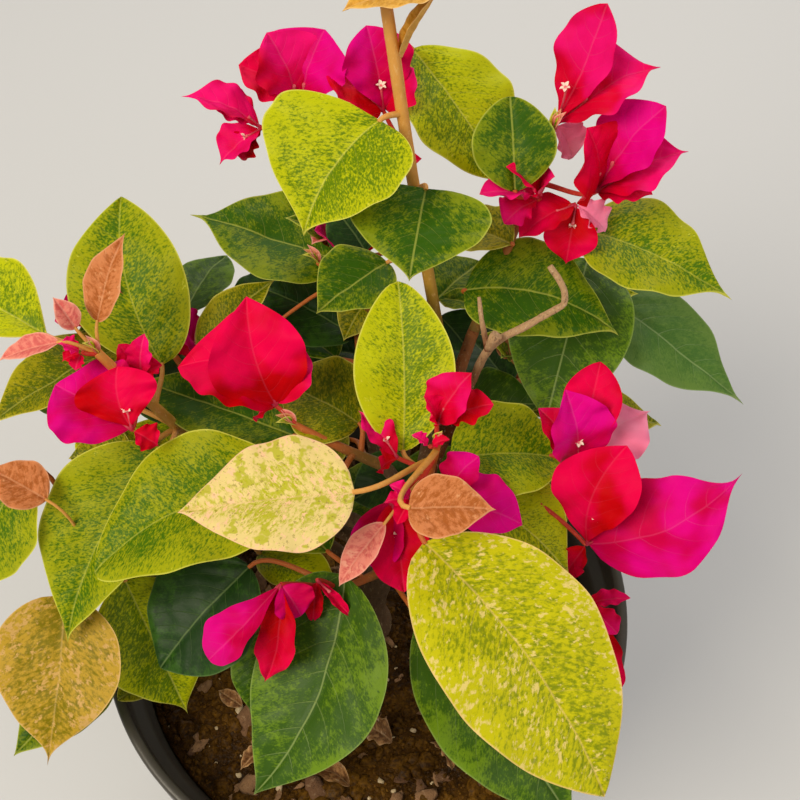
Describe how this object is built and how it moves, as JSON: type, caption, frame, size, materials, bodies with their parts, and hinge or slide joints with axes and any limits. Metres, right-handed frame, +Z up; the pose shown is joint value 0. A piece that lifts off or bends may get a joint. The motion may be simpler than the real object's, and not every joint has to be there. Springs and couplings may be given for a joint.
{
  "type": "potted bougainvillea bush",
  "caption": "Young bougainvillea bush with variegated leaves and crimson papery bracts, growing in a round dark nursery pot that stands on its flat underside.",
  "frame": {"origin": "middle of the pot's flat underside, on the surface it stands on", "axes": "+Z up; -Y is the front, towards the side whose big leaf hangs lowest; +X to the right seen from the front"},
  "size_m": [0.2356, 0.2072, 0.3181],
  "materials": {
    "pot_plastic": "dark grey moulded plastic, slightly shiny, dusty and scuffed",
    "potting_soil": "loose brown potting mix with bark chips and crumbs",
    "bark": "thin brown bark, orange-brown on the young boughs",
    "dead_wood": "dry grey-brown twig with no bark left at its tip",
    "foliage": "leathery leaves, green mottled with lime, cream and yellow",
    "blossom": "thin papery bracts, crimson to magenta pink, with fine veins"
  },
  "bodies": {
    "root": {"bloom_back_1": "blossom", "bloom_back_2": "blossom", "bloom_centre": "blossom", "bloom_centre_back": "blossom", "bloom_centre_low": "blossom", "bloom_centre_right": "blossom", "bloom_far_left": "blossom", "bloom_far_left_small": "blossom", "bloom_front_low": "blossom", "bloom_front_low_small": "blossom", "bloom_left": "blossom", "bloom_left_back_1": "blossom", "bloom_left_back_2": "blossom", "bloom_right": "blossom", "bloom_right_front": "blossom", "bloom_right_front_low": "blossom", "bloom_right_top": "blossom", "bloom_right_top_low": "blossom", "bloom_right_top_small": "blossom", "bloom_right_top_upper": "blossom", "bloom_top": "blossom", "bloom_top_left": "blossom", "bloom_top_left_small": "blossom", "bough_back": "bark", "bough_back_left": "bark", "bough_back_right": "bark", "bough_far_left": "bark", "bough_front_low": "bark", "bough_left": "bark", "bough_left_back": "bark", "bough_left_front": "bark", "bough_right": "bark", "bough_right_low": "bark", "bough_right_side": "bark", "bough_right_top": "bark", "bough_top": "bark", "dead_twig": "dead_wood", "leaves_back": "foliage", "leaves_back_left": "foliage", "leaves_back_right": "foliage", "leaves_centre": "foliage", "leaves_far_left": "foliage", "leaves_front_low": "foliage", "leaves_left": "foliage", "leaves_left_back": "foliage", "leaves_left_front": "foliage", "leaves_right": "foliage", "leaves_right_low": "foliage", "leaves_right_side": "foliage", "leaves_right_top": "foliage", "leaves_top": "foliage", "pot": "pot_plastic", "soil": "potting_soil", "trunk": "bark"}
  },
  "joints": []
}
